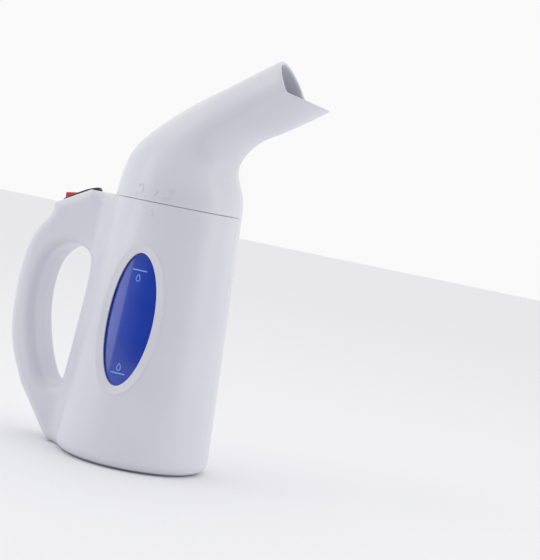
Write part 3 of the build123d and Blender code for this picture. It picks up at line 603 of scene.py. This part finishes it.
def housing(finish):
    """Both halves of the body and handle, flowing into each other, with an even wall and their bosses."""
    step = 0.9
    low = np.array((housing_low.x - 3, -2 * step, -2.0))
    x, y, z = grid(low, (base_r + 3, base_r + 3, seam_z + 3), step)
    seam = [((0, 0, seam_z), (0, 0, 1))]
    made = {}
    for side, name in ((1, "left"), (-1, "right")):
        mesh = field_mesh(f"housing_{name}_shell", housing_field(x, y, z, side), low, step)
        made[side] = half_piece(f"housing_{name}_shell", mesh, side, seam, finish, "housing",
                                [f"housing_{name}"])
    return made


# ------------------------------------------------------------------ steam head
def neck_rings(around=96, steps=7):
    """Rings of points along the neck, from below the seam to past the mouth."""
    rings = []
    for row in curve_through(neck, steps):
        x, rise, half_h, half_w, tilt = row
        t = math.radians(tilt)
        ring = []
        for i in range(around):
            a = 2 * math.pi * i / around
            across = half_h * math.cos(a)
            ring.append((x + across * math.cos(t), half_w * math.sin(a), head_z + rise - across * math.sin(t)))
        rings.append(ring)
    return rings


def head_field(low, shape, step):
    """Distance field of the whole head: an even wall, and a mouth cut to a V with a rounded lip."""
    rings = neck_rings()
    around = len(rings[0])
    points = [p for ring in rings for p in ring]
    quads = [[r * around + i, r * around + (i + 1) % around, (r + 1) * around + (i + 1) % around,
              (r + 1) * around + i] for r in range(len(rings) - 1) for i in range(around)]
    caps = []
    for r, flip in ((0, False), (len(rings) - 1, True)):
        centre = len(points)
        points.append(tuple(np.mean(rings[r], axis=0)))
        for i in range(around):
            pair = (r * around + i, r * around + (i + 1) % around)
            caps.append([centre, *(pair if flip else pair[::-1])])
    cells = (np.array(points) - low) / step
    volume = openvdb.FloatGrid.createLevelSetFromPolygons(cells.astype(np.float32), triangles=np.array(caps, np.uint32),
                                                          quads=np.array(quads, np.uint32), halfWidth=8.0)
    outside = np.full(shape, 8.0, np.float32)
    volume.copyToArray(outside)
    outside = outside * step

    x, y, z = (low[i] + step * np.arange(shape[i]) for i in range(3))
    x, z = x[:, None, None], z[None, None, :]
    sides = []
    for tip, turn in ((upper_lip, -1), (lower_lip, 1)):
        ax, az = mouth_corner[0], head_z + mouth_corner[1]
        bx, bz = tip[0], head_z + tip[1]
        length = math.hypot(bx - ax, bz - az)
        sides.append(turn * ((bx - ax) * (z - az) - (bz - az) * (x - ax)) / length)
    mouth = smooth_min(sides[0], sides[1], 1.2)
    shell = np.maximum(outside, -(outside + head_wall))
    return round_max(shell, mouth, lip_round)


def steam_head(finish):
    """Both halves of the steam head."""
    step = 0.7
    low = np.array((-seam_r - 4, -seam_r - 4, head_z - 4.0))
    high = np.array((head_high.x + 8, seam_r + 4, head_high.z + 8))
    shape = tuple(int(n) for n in np.ceil((high - low) / step))
    field = head_field(low, shape, step)
    seam = [((0, 0, head_z), (0, 0, -1))]
    made = {}
    for side, name in ((1, "left"), (-1, "right")):
        mesh = field_mesh(f"head_{name}_shell", field, low, step)
        made[side] = half_piece(f"head_{name}_shell", mesh, side, seam, finish, "steam_head",
                                [f"head_shell_{name}"])
    return made


# ------------------------------------------------------------------ window rims and marks
def free_piece(name, bm, finish, body):
    """A closed mesh drawn in millimetres, as a piece of its own."""
    bmesh.ops.recalc_face_normals(bm, faces=bm.faces)
    mesh = bpy.data.meshes.new(name)
    bm.to_mesh(mesh)
    bm.free()
    return piece(name, mesh, finish, body, sharp=15.0)


def sweep(bm, rings, closed):
    """Joins equal rings of points into a closed skin."""
    rings = [[bm.verts.new(p) for p in ring] for ring in rings]
    for one, two in zip(rings, rings[1:] + (rings[:1] if closed else [])):
        for i in range(len(one)):
            j = (i + 1) % len(one)
            bm.faces.new((one[i], one[j], two[j], two[i]))
    if not closed:
        bm.faces.new(rings[0][::-1])
        bm.faces.new(rings[-1])


def window_rim(side, name, finish):
    """The crisp bevel round the window: a thin ring that follows the wall."""
    a, b = window_half_w - window_bevel, window_half_h - window_bevel
    land, skin = -(shell_wall - window_land), 0.1
    section = [(-0.2, 0.1 - shell_wall), (-0.2, land), (window_bevel + 0.3, skin), (window_bevel + 0.9, skin),
               (window_bevel + 0.9, -0.6), (1.0, 0.1 - shell_wall)]
    rings = []
    for i in range(180):
        t = math.radians(2 * i)
        away = Vector((b * math.cos(t), a * math.sin(t))).normalized()
        ring = []
        for grow, proud in section:
            x, z = a * math.cos(t) + grow * away.x, window_z + b * math.sin(t) + grow * away.y
            ring.append((x, side * math.sqrt((body_r(z) + proud) ** 2 - x * x), z))
        rings.append(ring)
    bm = bmesh.new()
    sweep(bm, rings, closed=True)
    free_piece(name, bm, finish, "housing")


def surface_of(target, centre, across, up):
    """Gives each point of a drawing plane its place and normal on the surface under it."""
    mesh = target.data
    tree = BVHTree.FromPolygons([v.co for v in mesh.vertices], [list(p.vertices) for p in mesh.polygons])
    out = across.cross(up)

    def meet(u, v):
        start = (centre + across * u + up * v + out * 60) * mm
        spot, normal = tree.ray_cast(start, -out)[:2]
        return spot / mm, normal if normal.dot(out) > 0 else -normal
    return meet


def fine(points, closed=False, step=0.6):
    """A line with a point at least every step."""
    ends = points[1:] + (points[:1] if closed else [])
    out = []
    for a, b in zip(points, ends):
        parts = max(1, math.ceil(math.dist(a, b) / step))
        out += [(a[0] + (b[0] - a[0]) * i / parts, a[1] + (b[1] - a[1]) * i / parts) for i in range(parts)]
    return out if closed else out + [points[-1]]


def stroke(bm, meet, path, width, lift, closed=False):
    """One line of a mark: a closed strip of a width, or of one width a point, that follows the surface."""
    widths = width if isinstance(width, list) else [width] * len(path)
    rings = []
    for i, at in enumerate(path):
        before = path[i - 1] if i or closed else at
        after = path[(i + 1) % len(path)] if closed or i + 1 < len(path) else at
        run = (Vector(after) - Vector(before)).normalized() * widths[i] / 2
        low, low_way = meet(at[0] + run.y, at[1] - run.x)
        high, high_way = meet(at[0] - run.y, at[1] + run.x)
        rings.append([low - low_way * 0.2, low + low_way * lift, high + high_way * lift, high - high_way * 0.2])
    sweep(bm, rings, closed)


def arrow(bm, meet, x, z, way, lift):
    """An arrow of 8 mm that points left or right."""
    spots = [x - 4 * way, x + 2.4 * way, x + 2.5 * way, x + 4 * way]
    stroke(bm, meet, [(spot, z) for spot in spots], [0.7, 0.7, 2.2, 0.15], lift)


def padlock(bm, meet, x, z, shift, lift):
    """A padlock sign; a shift of its bow draws it open."""
    stroke(bm, meet, fine([(x - 2.1, z), (x + 2.1, z)]), 3.0, lift)
    bow = [(x + shift + 1.3 * math.cos(t), z + 2.2 + 1.3 * math.sin(t)) for t in
           [math.radians(15 * i) for i in range(13)]]
    legs = bow + [(bow[-1][0], z + 1.4)] if shift else [(bow[0][0], z + 1.4)] + bow + [(bow[-1][0], z + 1.4)]
    stroke(bm, meet, legs, 0.6, lift)


def marks(shells, heads, finish):
    """Raised lock marks at the seam, printed level marks on the tank, and the rocker's two signs."""
    right, up = Vector((1, 0, 0)), Vector((0, 0, 1))
    raised = 0.3
    for name, target, z, way, body in (("body_arrow_mark", shells[-1], seam_z - body_arrow_drop, 1, "housing"),
                                       ("head_arrow_mark", heads[-1], seam_z + head_arrow_rise, -1,
                                        "steam_head")):
        bm = bmesh.new()
        meet = surface_of(target, Vector((0, 0, 0)), right, up)
        stroke(bm, meet, [(0, z - 1.6 * way), (0, z), (0, z + 1.6 * way)], [4.0, 2.1, 0.2], raised)
        free_piece(name, bm, finish, body)
    bm = bmesh.new()
    meet = surface_of(heads[-1], Vector((0, 0, 0)), right, up)
    for x, way, shift in ((closed_lock_x, -1, 0.0), (open_lock_x, 1, open_shift)):
        padlock(bm, meet, x, seam_z + lock_rise, shift, raised)
        arrow(bm, meet, x, seam_z + lock_arrow_rise, way, raised)
    free_piece("lock_marks", bm, finish, "steam_head")

    ink, film = pad_print(), 0.08
    bm = bmesh.new()
    meet = surface_of(frame["nodes"]["water_tank"], Vector((0, 0, 0)), right, up)
    for rise, drop in level_rises:
        level = window_z + rise
        stroke(bm, meet, fine([(-4.4, level), (4.4, level)]), 0.7, film)
        turns = [math.radians(18 * i) for i in range(20)]
        outline = [(1.5 * math.sin(t) * math.sin(t / 2), level + drop + 2 * math.cos(t)) for t in turns]
        stroke(bm, meet, outline, 0.45, film, closed=True)
    free_piece("level_marks", bm, ink, "housing")

    low, high = node_box("switch_rocker")
    centre = Vector(((low.x + high.x) / 2, 0, (low.z + high.z) / 2))
    slope = Vector((math.cos(switch_slope), 0, math.sin(switch_slope)))
    bm = bmesh.new()
    meet = surface_of(frame["nodes"]["switch_rocker"], centre, slope, Vector((0, 1, 0)))
    stroke(bm, meet, fine([(sign_set, -1.8), (sign_set, 1.8)]), 0.6, 0.06)
    ring = [(-sign_set + 1.5 * math.cos(t), 1.5 * math.sin(t)) for t in [math.radians(15 * i) for i in range(24)]]
    stroke(bm, meet, ring, 0.5, 0.06, closed=True)
    free_piece("rocker_signs", bm, white_print(), "rocker")


# ------------------------------------------------------------------ studio
view_azimuth, view_elevation, view_distance = 24.071, 2.21, 0.8733
view_roll, view_pan, view_tilt = 11.129, 3.808, -1.127
lens = 99.38
aim = Vector((0, 0, 0.125))


def add_camera():
    """A long lens that sees the steamer from its front right, rolled so that it leans as when it is held."""
    az, el = math.radians(view_azimuth), math.radians(view_elevation)
    out = Vector((math.sin(az) * math.cos(el), -math.cos(az) * math.cos(el), math.sin(el)))
    right = Vector((math.cos(az), math.sin(az), 0))
    up = out.cross(right)
    turn = Matrix((right, up, out)).transposed()
    turn = turn @ Matrix.Rotation(math.radians(view_roll), 3, "Z") @ Matrix.Rotation(math.radians(-view_pan), 3, "Y")
    turn = turn @ Matrix.Rotation(math.radians(view_tilt), 3, "X")
    data = bpy.data.cameras.new("studio_camera")
    data.lens = lens
    data.sensor_width = 36.0
    data.sensor_fit = "HORIZONTAL"
    data.clip_start = 0.01
    camera = bpy.data.objects.new("studio_camera", data)
    camera.matrix_world = Matrix.Translation(aim + out * view_distance) @ turn.to_4x4()
    bpy.context.scene.collection.objects.link(camera)
    bpy.context.scene.camera = camera


def add_light(name, place, size, power, colour="#FFFFFF"):
    """A soft box that faces the steamer."""
    data = bpy.data.lights.new(name, "AREA")
    data.shape = "RECTANGLE"
    data.size, data.size_y = size
    data.energy = power
    data.color = linear(colour)[:3]
    lamp = bpy.data.objects.new(name, data)
    lamp.location = place
    lamp.rotation_euler = (aim - Vector(place)).to_track_quat("-Z", "Y").to_euler()
    bpy.context.scene.collection.objects.link(lamp)


def add_studio():
    """A white floor, an even white surround and three soft boxes."""
    bm = bmesh.new()
    bmesh.ops.create_grid(bm, x_segments=24, y_segments=24, size=6.0)
    mesh = bpy.data.meshes.new("studio_floor")
    bm.to_mesh(mesh)
    bm.free()
    mesh.materials.append(studio_paper())
    floor = bpy.data.objects.new("studio_floor", mesh)
    bpy.context.scene.collection.objects.link(floor)
    world = bpy.data.worlds.new("studio_surround")
    bpy.context.scene.world = world
    world.use_nodes = True
    surround = world.node_tree.nodes["Background"]
    front = (math.sin(math.radians(view_azimuth)), -math.cos(math.radians(view_azimuth)), -0.5)
    around = add(world.node_tree, "ShaderNodeTexCoord")
    facing = add(world.node_tree, "ShaderNodeVectorMath", {"operation": "DOT_PRODUCT", 1: front},
                 {0: (around, "Generated")})
    ramp = add(world.node_tree, "ShaderNodeValToRGB", links={"Fac": (facing, "Value")})
    ramp.color_ramp.elements[0].color = linear("#FFFFFF")
    ramp.color_ramp.elements[0].position = 0.0
    ramp.color_ramp.elements[1].color = linear("#6A6C74")
    ramp.color_ramp.elements[1].position = 0.9
    world.node_tree.links.new(ramp.outputs["Color"], surround.inputs["Color"])
    surround.inputs["Strength"].default_value = 0.95
    add_light("left_soft_box", (-0.95, -0.75, 0.45), (0.5, 1.3), 1.8)
    add_light("right_soft_box", (1.15, 0.05, 0.4), (0.5, 1.3), 1.7)
    add_light("top_soft_box", (-0.1, 0.1, 1.4), (0.9, 0.9), 0.8)
    bpy.context.scene.view_settings.view_transform = "Standard"


# ------------------------------------------------------------------ build
add_camera()
add_studio()

abs_white = moulded_abs()
textured = spark_textured_abs()
steel = zinc_steel()
brown = pvc_insulation("brown_pvc", "#4A2A18", "#5C3622")
finishes = {
    "housing_left": abs_white, "housing_right": abs_white, "head_shell_left": abs_white,
    "head_shell_right": abs_white, "base_cover": textured, "water_tank": clear_blue_polycarbonate(),
    "housing_screws": steel, "base_screws": steel, "heater_screws": steel, "cord_clamp_screws": steel,
    "fuse_bracket": steel, "heater_plate": cast_aluminium(), "heater_element": heated_stainless(),
    "thermostat": pressed_aluminium(), "switch_body": black_nylon(), "switch_rocker": red_polycarbonate(),
    "switch_terminals": stamped_brass(), "cord_grommet": grey_rubber(), "terminal_block": natural_nylon(),
    "thermal_fuse": braided_sleeve(), "lead_neutral": pvc_insulation("blue_pvc", "#1E3F8C", "#2A50A4"),
    "lead_live": brown, "lead_switched": brown, "lead_link": brown, "lead_fuse": brown,
}
nylon = grey_nylon()
silicone = silicone_rubber()
for name in ("filler_collar", "head_lock_ring", "splash_baffle", "cord_clamp"):
    finishes[name] = nylon
for name in ("head_seal", "collar_ring", "heater_gasket"):
    finishes[name] = silicone
for name, made in frame["nodes"].items():
    made.data.materials.clear()
    made.data.materials.append(finishes[name])

shells = housing(abs_white)
heads = steam_head(abs_white)
window_rim(1, "window_rim_left", abs_white)
window_rim(-1, "window_rim_right", abs_white)
marks(shells, heads, abs_white)
